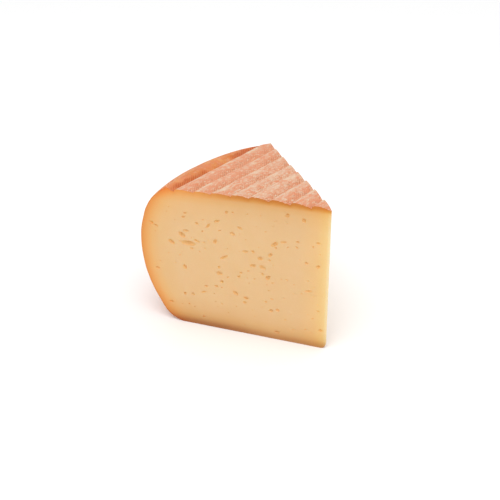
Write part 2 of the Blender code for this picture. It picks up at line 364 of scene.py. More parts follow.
mat_shape, sizes, result = new_group(
    "mat print",
    "GeometryNodeTree",
    [
        ("Height", "NodeSocketFloat", HEIGHT),
        ("Grain", "NodeSocketFloat", GRAIN),
        ("Thickness", "NodeSocketFloat", MAT_THICKNESS),
    ],
    [("Mesh", "NodeSocketGeometry")],
)
ridge_count = FURROW_END - FIRST_RIDGE
mat_block = add_node(
    mat_shape,
    "GeometryNodeMeshCube",
    {
        "Size": (1.0, 1.0, 1.0),
        "Vertices X": ridge_count * STEPS_ACROSS_RIDGE + 1,
        "Vertices Y": STEPS_ALONG_RIDGES + 1,
        "Vertices Z": 2,
    },
)
block_x, block_y, block_z = parts_of(own_place(mat_shape))
even_ridge = (block_x + 0.5) * ridge_count + FIRST_RIDGE
ridge = even_ridge - sine(even_ridge * math.tau) * (RIDGE_CROWDING / math.tau)
notch_places = [(FIRST_RIDGE + i, distance) for i, distance in enumerate(NOTCHES)]
straight_across = follow_curve(ridge, notch_places, NOTCHES[0], NOTCHES[-1], straight=True)
along = spread(0.0 - block_y, -0.5, 0.5, *MAT_REACH, smooth=False)
across = straight_across + mat_wobble(straight_across, along)
grain_place = vector(mat_shape, across, along, 0.0)
grain = (noise(grain_place, GRAIN_LENGTH, 3.0, 0.65) - 0.5) * sizes["Grain"]
underside = sizes["Height"] - print_depth(ridge, straight_across, along) + grain
block_height = underside + maths("GREATER_THAN", block_z, 0.0) * sizes["Thickness"]
flat_place = vector_maths("ADD", scaled(ACROSS_RIDGES, across), scaled(ALONG_RIDGES, along))
block_rise = vector(mat_shape, 0.0, 0.0, block_height)
pressed = move_points(wire(mat_block), Position=vector_maths("ADD", flat_place, block_rise))
feed(result.inputs["Mesh"], store(pressed, "FACE", "layer", RIND_LAYER))


# The knife cuts. Two straight cuts meet at the tip, a little short of the wheel's centre. The steel leaves
# the paste almost flat, and the thin tip is worn round at its foot.
WEDGE_ANGLE = math.radians(54.4)
TIP_RADIUS = 0.5
FOOT_RADIUS = 2.2
FOOT_WEAR_HEIGHT = 5.0
TIP_STEPS = 8
WAVINESS = 0.25
WAVE_LENGTH = 30.0
WAVES_START = 12.0
CUT_LENGTH = 260.0
CUT_LENGTH_STEPS = 60
CUT_BOTTOM = -1.0
CUT_TOP = 106.0
CUT_HEIGHT_STEPS = 44
CUT_ROW_POWER = 1.8

cut_shape, sizes, result = new_group(
    "knife cuts",
    "GeometryNodeTree",
    [
        ("Angle", "NodeSocketFloat", WEDGE_ANGLE),
        ("Tip Radius", "NodeSocketFloat", TIP_RADIUS),
        ("Foot Radius", "NodeSocketFloat", FOOT_RADIUS),
        ("Foot Wear", "NodeSocketFloat", FOOT_WEAR_HEIGHT),
        ("Waviness", "NodeSocketFloat", WAVINESS),
    ],
    [("Mesh", "NodeSocketGeometry")],
)
blade_block = add_node(
    cut_shape,
    "GeometryNodeMeshCube",
    {
        "Size": (1.0, 1.0, 1.0),
        "Vertices X": CUT_LENGTH_STEPS + 1,
        "Vertices Y": TIP_STEPS + 1,
        "Vertices Z": CUT_HEIGHT_STEPS + 1,
    },
)
blade_x, blade_y, blade_z = parts_of(own_place(cut_shape))
reach = (blade_x + 0.5) * CUT_LENGTH
turn = 0.5 - blade_y
cut_height = at_least(blade_z + 0.5, 0.0) ** CUT_ROW_POWER * (CUT_TOP - CUT_BOTTOM) + CUT_BOTTOM
wear = spread(cut_height, 0.0, sizes["Foot Wear"], 1.0, 0.0, smooth=False) ** 2.0
tip_radius = sizes["Tip Radius"] + (sizes["Foot Radius"] - sizes["Tip Radius"]) * wear
tip_setback = tip_radius / maths("TANGENT", sizes["Angle"] / 2.0)
tip_centre = vector(cut_shape, 0.0 - tip_setback, tip_radius, cut_height)
normal_angle = turn * (math.pi - sizes["Angle"]) - math.pi / 2
run_angle = math.pi - turn * sizes["Angle"]
cut_normal = vector(cut_shape, cosine(normal_angle), sine(normal_angle), 0.0)
cut_run = vector(cut_shape, cosine(run_angle), sine(run_angle), 0.0)
round_tip = vector_maths("ADD", tip_centre, scaled(cut_normal, tip_radius))
straight_cut = vector_maths("ADD", round_tip, scaled(cut_run, reach))
sway = (noise(straight_cut, WAVE_LENGTH, 1.0) - 0.5) * sizes["Waviness"] * spread(reach, 0.0, WAVES_START)
wavy_cut = vector_maths("ADD", straight_cut, scaled(cut_normal, sway))
cut_out = move_points(wire(blade_block), Position=wavy_cut)
feed(result.inputs["Mesh"], store(cut_out, "FACE", "layer", PASTE_LAYER))


# The eyes. Gas swells small holes in the ripening paste, flattened and slit-like from the press, and the
# knife opens those in its way. Those that show plainly in the first cut have a row each, with the distance
# from the tip, the height, the length, the width and the slant in degrees. Fine ones are strewn by a rule.
PLAIN_EYES = (
    (99, 64, 4.4, 2.4, -35),
    (96, 67.3, 3.7, 1.2, 0),
    (94.5, 58.7, 7.9, 2.8, 0),
    (88.7, 61.2, 3.5, 1.4, -15),
    (106.8, 57.8, 3.8, 2.2, -30),
    (92.5, 55.4, 2.3, 1.0, 0),
    (96.4, 79.4, 1.9, 1.2, 0),
    (97.8, 76.5, 2.1, 1.2, 10),
    (88.4, 73.4, 2.0, 1.4, -20),
    (74.5, 77, 3.4, 1.4, 20),
    (80.6, 73.1, 3.4, 1.3, 50),
    (67.9, 84, 1.6, 1.6, 0),
    (75.9, 62.8, 3.0, 2.0, 50),
    (64, 70.2, 2.8, 1.8, -20),
    (59, 74.8, 2.8, 1.4, -15),
    (55.4, 59.3, 3.2, 1.4, 5),
    (50.2, 60, 1.8, 1.6, -45),
    (70, 52.7, 5.3, 1.4, 30),
    (45.3, 56.1, 2.7, 2.0, 10),
    (38.6, 59.7, 2.9, 1.8, 40),
    (43.6, 50.1, 3.7, 1.8, -20),
    (50.2, 50.3, 3.6, 1.8, 15),
    (35.9, 67.4, 4.2, 2.2, 35),
    (30.2, 69.8, 3.4, 1.2, 10),
    (35, 64.9, 1.5, 1.2, 0),
    (21, 71.4, 1.9, 1.2, 0),
    (27.8, 87.2, 2.2, 1.6, 15),
    (17.2, 85.9, 2.0, 1.8, -30),
    (40.1, 43.6, 3.1, 2.0, 40),
    (43.8, 45.4, 2.0, 1.4, -20),
    (97.7, 41.1, 3.0, 2.0, -60),
    (73.3, 40.7, 3.7, 2.0, -5),
    (73.4, 45.1, 1.8, 1.3, 60),
    (71.8, 35, 2.1, 1.8, 0),
    (75.5, 31.1, 2.5, 1.2, -10),
    (82.8, 29.9, 2.1, 1.2, 0),
    (84.7, 25.2, 3.4, 1.1, 20),
    (62.1, 28.4, 3.5, 1.9, -25),
    (54.7, 26.2, 2.8, 1.7, 0),
    (55.7, 23, 2.4, 1.4, 0),
    (58.3, 43.9, 1.8, 1.2, 0),
    (59.9, 40.9, 2.0, 1.2, 10),
    (37.8, 20.3, 2.4, 1.6, 0),
    (33.3, 21.6, 2.0, 1.6, -20),
    (33.3, 5.4, 2.8, 1.6, -10),
    (13, 39, 3.6, 1.3, 8),
    (4.4, 12.7, 2.3, 1.3, 5),
    (7.5, 57, 2.2, 1.5, 20),
    (14.8, 58.2, 1.7, 1.5, 0),
    (7.8, 72.8, 2.0, 1.3, 5),
    (120.8, 69.3, 2.8, 1.5, -25),
    (117.4, 67.7, 2.4, 1.1, -20),
    (117.5, 37.1, 2.2, 1.4, -10),
    (108.7, 13.6, 2.4, 1.4, 0),
    (92.3, 22.1, 1.9, 1.6, 0),
    (98.2, 21.5, 1.7, 1.6, 0),
)
EYE_SIDES = 14
EYE_ROWS = 10
EYE_FLARE = 1.35
EYE_LIP = 0.45
EYE_HOLLOW_POWER = 1.5
EYE_DEPTH_SHARE = 0.5
EYE_RUGGEDNESS = 0.5
RAGGED_LENGTH = 1.6
STREWN_LENGTH = 130.0
STREWN_LOW = 6.0
STREWN_HIGH = 88.0
STREWN_SMALLNESS = 2.5
STREWN_SLIMMEST = 0.35
STREWN_SLIMNESS_RANGE = 0.4
STREWN_SLANT_RANGE = 1.6
RIND_MARGIN = 9.0
TIP_MARGIN = 3.5
FIRST_CUT_SEED = 8
SECOND_CUT_SEED = 21
LENGTH_SEED = 3
WIDTH_SEED = 5
SLANT_SEED = 7


def rotation(tree, x, y, z):
    return wire(add_node(tree, "FunctionNodeEulerToRotation", {0: vector(tree, x, y, z)}))


def attribute_wire(tree, name):
    return wire(add_node(tree, "GeometryNodeInputNamedAttribute", {"Name": name}, data_type="FLOAT"))


def random_share(tree, seed):
    """A random number from 0 to 1 for each point."""
    return wire(add_node(tree, "FunctionNodeRandomValue", {"Seed": seed}, data_type="FLOAT"), 1)


eye_shape, sizes, result = new_group(
    "eyes of one cut",
    "GeometryNodeTree",
    [
        ("Plain Eyes", "NodeSocketGeometry", None),
        ("Turn", "NodeSocketFloat", 0.0),
        ("Side", "NodeSocketFloat", 1.0),
        ("Amount", "NodeSocketFloat", 0.01),
        ("Gap", "NodeSocketFloat", 4.5),
        ("Smallest", "NodeSocketFloat", 0.7),
        ("Largest", "NodeSocketFloat", 2.0),
        ("Ruggedness", "NodeSocketFloat", EYE_RUGGEDNESS),
        ("Seed", "NodeSocketInt", 1),
    ],
    [("Mesh", "NodeSocketGeometry")],
)

# Points strewn over the cut, and then thinned near the rind, the tip and the plain eyes.
cut_sheet = add_node(
    eye_shape,
    "GeometryNodeMeshGrid",
    {"Size X": STREWN_LENGTH, "Size Y": STREWN_HIGH - STREWN_LOW, "Vertices X": 2, "Vertices Y": 2},
)
strewn = add_node(
    eye_shape,
    "GeometryNodeDistributePointsOnFaces",
    {
        "Mesh": wire(cut_sheet),
        "Distance Min": sizes["Gap"],
        "Density Max": sizes["Amount"],
        "Seed": sizes["Seed"],
    },
    distribute_method="POISSON",
)
sheet_x, sheet_y, _ = parts_of(own_place(eye_shape))
strewn_distance = sheet_x + STREWN_LENGTH / 2
strewn_height = sheet_y + (STREWN_HIGH + STREWN_LOW) / 2
on_cut = vector(eye_shape, strewn_distance * sizes["Side"], 0.0, strewn_height)
upright = move_points(wire(strewn), Position=on_cut)
place_x, _, place_z = parts_of(own_place(eye_shape))
distance = place_x * sizes["Side"]
cut_bearing = math.pi * 0.5 * (1.0 - sizes["Side"]) + sizes["Turn"]
run_to_centre = WHEEL_CENTRE[0] * cosine(cut_bearing) + WHEEL_CENTRE[1] * sine(cut_bearing)
centre_square = WHEEL_CENTRE[0] ** 2 + WHEEL_CENTRE[1] ** 2
half_chord = maths("SQRT", run_to_centre * run_to_centre - centre_square + radius_at(place_z) ** 2.0)
near_rind = maths("GREATER_THAN", distance, run_to_centre + half_chord - RIND_MARGIN)
nearest_plain = add_node(
    eye_shape, "GeometryNodeProximity", {"Geometry": sizes["Plain Eyes"]}, target_element="POINTS"
)
plain_count = add_node(
    eye_shape, "GeometryNodeAttributeDomainSize", {"Geometry": sizes["Plain Eyes"]}, component="MESH"
)
too_close = maths("LESS_THAN", wire(nearest_plain, "Distance"), sizes["Gap"])
crowded = too_close * maths("GREATER_THAN", wire(plain_count), 0.0)
near_tip = maths("LESS_THAN", distance, TIP_MARGIN)
thinned = add_node(
    eye_shape,
    "GeometryNodeDeleteGeometry",
    {"Geometry": upright, "Selection": at_least(at_least(near_rind, crowded), near_tip)},
    domain="POINT",
)

# Most of the strewn eyes are small. Their sizes are kept on their points, like those of the plain ones.
chance = random_share(eye_shape, LENGTH_SEED) ** STREWN_SMALLNESS
slimness = STREWN_SLIMMEST + random_share(eye_shape, WIDTH_SEED) * STREWN_SLIMNESS_RANGE
strewn_slant = (random_share(eye_shape, SLANT_SEED) - 0.5) * STREWN_SLANT_RANGE
strewn_eye_length = sizes["Smallest"] + (sizes["Largest"] - sizes["Smallest"]) * chance
eye_length = attribute_wire(eye_shape, "eye_length")
eye_width = attribute_wire(eye_shape, "eye_width")
eye_slant = attribute_wire(eye_shape, "eye_slant")
small_eyes = store(wire(thinned), "POINT", "eye_length", strewn_eye_length)
small_eyes = store(small_eyes, "POINT", "eye_width", eye_length * slimness)
small_eyes = store(small_eyes, "POINT", "eye_slant", strewn_slant)
plain_points = add_node(eye_shape, "GeometryNodeMeshToPoints", {"Mesh": sizes["Plain Eyes"]})
all_eyes = add_node(eye_shape, "GeometryNodeJoinGeometry")
feed(all_eyes.inputs[0], small_eyes)
feed(all_eyes.inputs[0], wire(plain_points))

# Each eye is a flattened ball with a wider lip, centred on the cut, and its wall is a little ragged.
round_hole = add_node(
    eye_shape, "GeometryNodeMeshUVSphere", {"Segments": EYE_SIDES, "Rings": EYE_ROWS, "Radius": 1.0}
)
hole_x, hole_y, hole_z = parts_of(own_place(eye_shape))
hole_depth = maths("SIGN", hole_z) * maths("ABSOLUTE", hole_z) ** EYE_HOLLOW_POWER
flare = spread(maths("ABSOLUTE", hole_depth), 0.0, EYE_LIP, EYE_FLARE, 1.0)
lipped = vector(eye_shape, hole_x * flare, hole_depth, 0.0 - hole_y * flare)
lipped_hole = move_points(wire(round_hole), Position=lipped)
eyes_in_place = add_node(
    eye_shape,
    "GeometryNodeInstanceOnPoints",
    {
        "Points": wire(all_eyes),
        "Instance": lipped_hole,
        "Rotation": rotation(eye_shape, 0.0, eye_slant * sizes["Side"], 0.0),
        "Scale": vector(eye_shape, eye_length / 2.0, eye_width * EYE_DEPTH_SHARE, eye_width / 2.0),
    },
)
real_eyes = add_node(eye_shape, "GeometryNodeRealizeInstances", {"Geometry": wire(eyes_in_place)})
ragged_way = noise(own_place(eye_shape), RAGGED_LENGTH, 2.0, output=1)
ragged_way = vector_maths("SUBTRACT", ragged_way, (0.5, 0.5, 0.5))
rugged_eyes = move_points(wire(real_eyes), Offset=scaled(ragged_way, eye_width * sizes["Ruggedness"]))
eyes_turned = add_node(
    eye_shape,
    "GeometryNodeTransform",
    {"Geometry": rugged_eyes, "Rotation": rotation(eye_shape, 0.0, 0.0, sizes["Turn"])},
)
feed(result.inputs["Mesh"], store(wire(eyes_turned), "FACE", "layer", EYE_LAYER))


# What the skin and the flesh of the cheese have in common. Both materials need to know where a point lies in
# the wheel: how deep under the rind, on which ridge, and how far from the tip. The planes of the cuts meet a
# little beyond the tip's rounded edge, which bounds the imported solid.
packed_low, packed_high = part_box("cheese_wedge")
TIP_SETBACK = TIP_RADIUS / math.tan(WEDGE_ANGLE / 2) - TIP_RADIUS
TIP_PLACE = Vector((packed_high.x + TIP_SETBACK * MM, packed_low.y, 0.0))
PRINT_FADE = (5.0, 1.5)
WOBBLE_ROUNDS = 3

whereabouts, given, result = new_group(
    "place in the wheel",
    "ShaderNodeTree",
    [("Point", "NodeSocketVector", None)],
    [
        ("Place", "NodeSocketVector"),
        ("Ridge", "NodeSocketFloat"),
        ("Across", "NodeSocketFloat"),
        ("Along", "NodeSocketFloat"),
        ("Under Top", "NodeSocketFloat"),
        ("Under Side", "NodeSocketFloat"),
        ("Above Base", "NodeSocketFloat"),
        ("From Tip", "NodeSocketFloat"),
    ],
)
place = scaled(vector_maths("SUBTRACT", given["Point"], tuple(TIP_PLACE)), 1.0 / MM)
_, behind_cut, place_height = parts_of(place)
place_across = vector_maths("DOT_PRODUCT", place, ACROSS_RIDGES, output=1)
place_along = vector_maths("DOT_PRODUCT", place, ALONG_RIDGES, output=1)

# A slat's wobble depends on where it would lie without it, so that place is found in a few rounds.
straight_across = place_across
for _ in range(WOBBLE_ROUNDS):
    straight_across = place_across - mat_wobble(straight_across, place_along)
ridge_places = [(distance, FIRST_RIDGE + i) for i, distance in enumerate(NOTCHES)]
place_ridge = follow_curve(straight_across, ridge_places, FIRST_RIDGE, FURROW_END, straight=True)

side_reach = radius_at(place_height) + swell_at(place_height, behind_cut)
from_centre = level_distance(vector_maths("SUBTRACT", place, WHEEL_CENTRE))
from_top = HEIGHT + crown_at(place) - place_height
printed_depth = print_depth(place_ridge, straight_across, place_along) * spread(from_top, *PRINT_FADE)
for label, value in {
    "Place": place,
    "Ridge": place_ridge,
    "Across": straight_across,
    "Along": place_along,
    "Under Top": from_top - printed_depth,
    "Under Side": side_reach - from_centre,
    "Above Base": place_height,
    "From Tip": level_distance(place),
}.items():
    feed(result.inputs[label], value)


# The paste is the flesh of the cheese: firm and pale yellow, darker and more orange towards the rind, where
# it has dried. Its brown band above the base is partly painted shade, and it is paler at the thin tip, with a
# painted glow where light comes through it. The six lists give its colours at depths under a surface. Those
# under the top and above the base differ between the tip and the rim.
SHARE_SENT_BACK = 0.83


def colour(red, green, blue):
    """A colour of the picture, from 0 to 255, as the share of the studio's bright light sent back."""
    shown = [value / 255 for value in (red, green, blue)]
    linear = [part / 12.92 if part <= 0.04045 else ((part + 0.055) / 1.055) ** 2.4 for part in shown]
    return tuple(part * SHARE_SENT_BACK for part in linear)


CORE = colour(234, 194, 142)
UNDER_SIDE = (
    (0, (222, 142, 68)),
    (2, (236, 160, 82)),
    (5, (238, 175, 102)),
    (8, (237, 185, 119)),
    (13, (235, 191, 133)),
    (25, (234, 194, 142)),
)
UNDER_TOP = (
    (0, (200, 116, 32)),
    (1.6, (208, 129, 42)),
    (3, (218, 149, 68)),
    (5, (226, 173, 108)),
    (8, (229, 184, 128)),
    (15, (232, 191, 139)),
    (25, (234, 194, 142)),
)
UNDER_TOP_AT_RIM = (
    (0, (228, 150, 72)),
    (1, (234, 160, 82)),
    (3, (236, 170, 98)),
    (5, (236, 180, 114)),
    (9, (235, 189, 132)),
    (25, (234, 194, 142)),
)
# Above the base the paste turns brown: partly the dried edge by the rind, partly painted shade where the
# cheese sits on the table.
ABOVE_BASE_DRIED_AND_SHADED = (
    (0, (186, 128, 78)),
    (2, (194, 137, 82)),
    (3.5, (208, 155, 97)),
    (5, (219, 170, 111)),
    (8, (228, 182, 124)),
    (12, (232, 189, 135)),
    (20, (234, 194, 142)),
)
ABOVE_BASE_AT_RIM_DRIED_AND_SHADED = (
    (0, (166, 104, 56)),
    (2, (173, 111, 62)),
    (3.5, (193, 136, 82)),
    (5, (210, 158, 99)),
    (8, (224, 176, 118)),
    (12, (230, 186, 132)),
    (20, (234, 194, 142)),
)
# Towards the thin tip the paste turns paler and creamier: a painted glow of light coming through the edge.
TIP_PAINTED_GLOW = (
    (0, (250, 236, 205)),
    (1, (249, 226, 174)),
    (2.5, (247, 212, 146)),
    (5, (244, 204, 136)),
    (9, (240, 197, 137)),
    (20, (234, 194, 142)),
)
TOP_CHANGES = (50.0, 100.0)
BASE_CHANGES = (35.0, 75.0)
DEEPER_FLESH = colour(232, 190, 136)
PALER_FLESH = colour(237, 198, 148)
FLESH_CLOUD = 14.0
CURD_SIZE = 0.9
CURD_SHADE = colour(222, 172, 112)
CURD_STRENGTH = 0.10
SKIN_EDGE = colour(230, 176, 138)
SKIN_EDGE_STRENGTH = 0.8
SKIN_EDGE_REACH = (0.15, -0.05)
SKIN_RAG = 3.0
SKIN_RAG_MIDDLE = 0.55
SKIN_RAG_LENGTH = 1.8
# The eye walls are deeper and more orange than the cut: partly their own tone, partly painted shade in the
# hollows.
EYE_WALL_TONE_AND_PAINTED_SHADE = (1.04, 0.89, 0.62)
PASTE_ROUGHNESS = (0.42, 0.56)
EYE_WALL_ROUGHNESS = (0.30, 0.42)
PASTE_GLOW = (1.0, 0.55, 0.3)
KNIFE_MARK_WIDTH = 1.4
KNIFE_MARK_STRETCH = (1.0, 1.0, 0.08)
PASTE_INPUTS = ("Place", "Under Top", "Under Side", "Above Base", "From Tip")


def blend(factor, under, over, kind="MIX"):
    """Lays one colour over another."""
    tree = tree_of(factor, under, over)
    node = add_node(tree, "ShaderNodeMix", {0: factor}, data_type="RGBA", blend_type=kind)
    for index, value in ((6, under), (7, over)):
        feed(node.inputs[index], value if isinstance(value, Wire) else (*value, 1.0))
    return wire(node, 2)


def tint_at(depth, tints):
    """The colour at a depth, as a share of the colour at the core."""
    reach = tints[-1][0]
    node = add_node(depth.tree, "ShaderNodeValToRGB", {0: depth / reach})
    elements = node.color_ramp.elements
    while len(elements) < len(tints):
        elements.new(0.5)
    for element, (tint_depth, tint) in zip(elements, tints):
        element.position = tint_depth / reach
        element.color = (*(part / whole for part, whole in zip(colour(*tint), CORE)), 1.0)
    return wire(node)


def use_group(tree, group, inputs=None):
    """Places a group in a tree, with its inputs fed by name."""
    in_shape = tree.bl_idname == "GeometryNodeTree"
    node = tree.nodes.new("GeometryNodeGroup" if in_shape else "ShaderNodeGroup")
    node.node_tree = group
    for label, value in (inputs or {}).items():
        feed(node.inputs[label], value)
    return node


def new_material(name):
    """A material: its tree, its shader, and where its points lie in the wheel."""
    material = bpy.data.materials.new(name)
    material.use_nodes = True
    tree = material.node_tree
    point = wire(tree.nodes.new("ShaderNodeTexCoord"), "Object")
    return material, tree, tree.nodes["Principled BSDF"], use_group(tree, whereabouts, {"Point": point})


def let_light_in(shader, share, glow, depth):
    """Lets a share of the light soak in, to about that depth in millimetres."""
    shader.inputs["Subsurface Weight"].default_value = share
    shader.inputs["Subsurface Radius"].default_value = glow
    shader.inputs["Subsurface Scale"].default_value = depth * MM


paste_colour, given, result = new_group(
    "paste colour",
    "ShaderNodeTree",
    [
        ("Place", "NodeSocketVector", None),
        ("Under Top", "NodeSocketFloat", 50.0),
        ("Under Side", "NodeSocketFloat", 50.0),
        ("Above Base", "NodeSocketFloat", 50.0),
        ("From Tip", "NodeSocketFloat", 50.0),
    ],
    [("Colour", "NodeSocketColor"), ("Grain", "NodeSocketFloat")],
)
flesh = blend(noise(given["Place"], FLESH_CLOUD, 3.0), DEEPER_FLESH, PALER_FLESH)
for label, tints, tints_at_rim, changes in (
    ("Under Side", UNDER_SIDE, None, None),
    ("Under Top", UNDER_TOP, UNDER_TOP_AT_RIM, TOP_CHANGES),
    ("Above Base", ABOVE_BASE_DRIED_AND_SHADED, ABOVE_BASE_AT_RIM_DRIED_AND_SHADED, BASE_CHANGES),
    ("From Tip", TIP_PAINTED_GLOW, None, None),
):
    tint = tint_at(given[label], tints)
    if tints_at_rim:
        tint = blend(spread(given["From Tip"], *changes), tint, tint_at(given[label], tints_at_rim))
    flesh = blend(1.0, flesh, tint, "MULTIPLY")
curd = noise(given["Place"], CURD_SIZE, 3.0, 0.6)
flesh = blend(spread(curd, 0.35, 0.65) * CURD_STRENGTH, flesh, CURD_SHADE)
rag = (noise(given["Place"], SKIN_RAG_LENGTH, 3.0) - SKIN_RAG_MIDDLE) * SKIN_RAG
skin_edge = spread(given["Under Top"] - rag, *SKIN_EDGE_REACH)
flesh = blend(skin_edge * SKIN_EDGE_STRENGTH, flesh, SKIN_EDGE)
feed(result.inputs["Colour"], flesh)
feed(result.inputs["Grain"], curd)

paste, tree, shader, here = new_material("paste")
coloured = use_group(tree, paste_colour, {label: wire(here, label) for label in PASTE_INPUTS})
feed(shader.inputs["Base Color"], wire(coloured, "Colour"))
feed(shader.inputs["Roughness"], spread(wire(coloured, "Grain"), 0.3, 0.7, *PASTE_ROUGHNESS))
let_light_in(shader, 0.25, PASTE_GLOW, 1.5)
shader.inputs["Specular IOR Level"].default_value = 0.3
knife_place = vector_maths("MULTIPLY", wire(here, "Place"), KNIFE_MARK_STRETCH)
knife_marks = noise(knife_place, KNIFE_MARK_WIDTH, 2.0)
fine_relief = wire(coloured, "Grain") * 0.6 + knife_marks * 0.4
bump = add_node(
    tree, "ShaderNodeBump", {"Strength": 0.35, "Distance": 0.12 * MM, "Height": fine_relief}
)
feed(shader.inputs["Normal"], wire(bump))

eye_wall, tree, shader, here = new_material("eye_wall")
coloured = use_group(tree, paste_colour, {label: wire(here, label) for label in PASTE_INPUTS})
# The eye walls take the paste's colour deepened: partly their own tone, partly painted shade in the hollows.
feed(shader.inputs["Base Color"], blend(1.0, wire(coloured, "Colour"), EYE_WALL_TONE_AND_PAINTED_SHADE, "MULTIPLY"))
feed(shader.inputs["Roughness"], spread(wire(coloured, "Grain"), 0.3, 0.7, *EYE_WALL_ROUGHNESS))
let_light_in(shader, 0.35, PASTE_GLOW, 2.0)


# The rind is the dried and washed outside of the same cheese. Repeated washing feeds a salmon bloom on it. It
# is creamy on the steep side of each ridge, partly as a painted highlight, and brown with the mat's weave
# where the gentle side is low, partly as painted shade in the trough. The furrow is darker in places: each
# row of the furrow list below has a place along it and how much.
PALE = colour(227, 176, 145)
SALMON = colour(228, 147, 107)
CREAM = colour(233, 208, 178)
ORANGE = colour(228, 136, 90)
BROWN = colour(200, 126, 84)
SPECK = colour(170, 114, 74)
SHOULDER = colour(221, 131, 66)
SHOULDER_PALE = colour(232, 159, 96)
FURROW = colour(192, 86, 30)
SIDE_TONE = colour(226, 150, 100)
FURROW_DARKENING = (
    (-40, 0.5),
    (-19, 0.5),
    (-12, 1.0),
    (17, 0.9),
    (24, 0.1),
    (38, 0.25),
    (47, 0.1),
    (55, 1.0),
    (86, 1.0),
    (130, 0.4),
)

# Where the furrow's darker patches start and end beyond the mat, counted in ridges, and how deep under the
# top they end.
DARK_PATCH_EDGE = (-0.04, 0.02)
DARK_PATCH_REACH = 0.3
DARK_PATCH_REACH_CHANGE = 0.9
DARK_PATCH_CLOUD = 4.0
DARK_PATCH_FADE = 0.35
DARK_PATCH_SKIN = (7.0, 4.0)

# The mat's fine weave, the speckle of the rind, and where the cream begins on a ridge.
WEAVE_PITCH = 1.25
WEAVE_DIRECTION = (math.cos(math.radians(20)), math.sin(math.radians(20)), 0.0)
WEAVE_WARP = 1.6
WEAVE_WARP_LENGTH = 4.0
SPECKLE_SIZE = 1.1
STREAKING = 0.45
CREAM_STARTS = (0.45, 0.85)
CREAM_STARTS_LENGTH = 6.0
RIND_ROUGHNESS = (0.60, 0.78)
RIND_GLOW = (1.0, 0.45, 0.25)

# Parts of the top, by their distance across the ridges.
RIMWARD = (45.0, 95.0)
MIDDLE_STARTS = (40.0, 55.0)
MIDDLE_ENDS = (75.0, 58.0)
TIPWARD = (45.0, 20.0)

# Kinds of patches in the rind: width, fineness, roughness, and the levels where they begin and are full.
SALMON_BLOOM = (2.6, 4.0, 0.7, 0.46, 0.60)
ORANGE_BLOOM = (8.0, 2.0, 0.5, 0.60, 0.70)
WEAVE_SHOWS = (7.0, 2.0, 0.5, 0.40, 0.60)
CREAM_BLOOM = (4.0, 4.0, 0.6, 0.36, 0.60)
CREAM_VEINS = (1.5, 3.0, 0.7, 0.50, 0.62)
PRINT_SPECKS = (1.7, 1.0, 0.5, 0.65, 0.72)
SHOULDER_CLOUDS = (5.0, 3.0, 0.6, 0.36, 0.64)
SHOULDER_BLOOM = (13.0, 3.0, 0.6, 0.50, 0.66)
SIDE_BLOOM = (9.0, 4.0, 0.6, 0.42, 0.64)
SIDE_STAINS = (26.0, 3.0, 0.6, 0.50, 0.70)
SIDE_PALENESS = (5.0, 4.0, 0.65, 0.54, 0.70)
SIDE_SPECKS = (1.7, 2.0, 0.5, 0.67, 0.74)


def patches(point, kind, more=0.0):
    """Soft-edged patches, from 0 between them to 1 inside. More than 0 makes them wider."""
    width, fineness, roughness, start, full = kind
    return spread(noise(point, width, fineness, roughness) + more, start, full)


def lay_over(ground, layers):
    """Lays colours over a ground, one after another. Each has a strength, where it lies, and its colour."""
    for strength, where, tone in layers:
        ground = blend(where * strength, ground, tone)
    return ground


rind, tree, shader, here = new_material("rind")
place = wire(here, "Place")
ridge = wire(here, "Ridge")
along = wire(here, "Along")
across = wire(here, "Across")
under_top = wire(here, "Under Top")
above_base = wire(here, "Above Base")
share = ridge - maths("FLOOR", ridge)
streaked = vector(tree, across, along * STREAKING, 0.0)
weave_run = vector_maths("DOT_PRODUCT", place, WEAVE_DIRECTION, output=1)
warped = weave_run + noise(place, WEAVE_WARP_LENGTH, 2.0) * WEAVE_WARP
strokes = spread(sine(warped * (math.tau / WEAVE_PITCH)), -0.3, 0.9)
speckle = noise(place, SPECKLE_SIZE, 3.0, 0.7)

# The bloom on the print is redder on the low side of a ridge, partly as painted shade, and creamier in the
# middle of the top.
low_side = spread(share, 0.65, 0.05)
rimward = spread(across, *RIMWARD)
middle = spread(across, *MIDDLE_STARTS) * spread(across, *MIDDLE_ENDS)
tipward = spread(across, *TIPWARD)
redness = low_side * 0.08 + rimward * 0.06 - middle * 0.03 + tipward * 0.04
creaminess = middle * 0.02 - rimward * 0.04 - tipward * 0.03
# The weave shows most on the low side of a ridge and the specks gather there, partly as painted shade. The
# cream on the steep side of a ridge is partly a painted highlight.
weave_and_shade_strength = spread(share, 0.6, 0.15) * (0.2 + patches(streaked, WEAVE_SHOWS) * 0.7)
cream_start = spread(noise(streaked, CREAM_STARTS_LENGTH, 2.0), 0.3, 0.7, *CREAM_STARTS)
cream_and_highlight_side = spread(share, cream_start, cream_start + 0.22) + spread(share, 0.03, 0.0)
printed = lay_over(
    PALE,
    (
        (0.9, patches(streaked, SALMON_BLOOM, redness), SALMON),
        (0.7, patches(place, ORANGE_BLOOM), ORANGE),
        (1.0, strokes * weave_and_shade_strength, BROWN),
        (0.8, cream_and_highlight_side * patches(streaked, CREAM_BLOOM), CREAM),
        (0.7, patches(streaked, CREAM_VEINS, creaminess), CREAM),
        (0.7, patches(place, PRINT_SPECKS) * spread(share, 0.6, 0.25), SPECK),
    ),
)

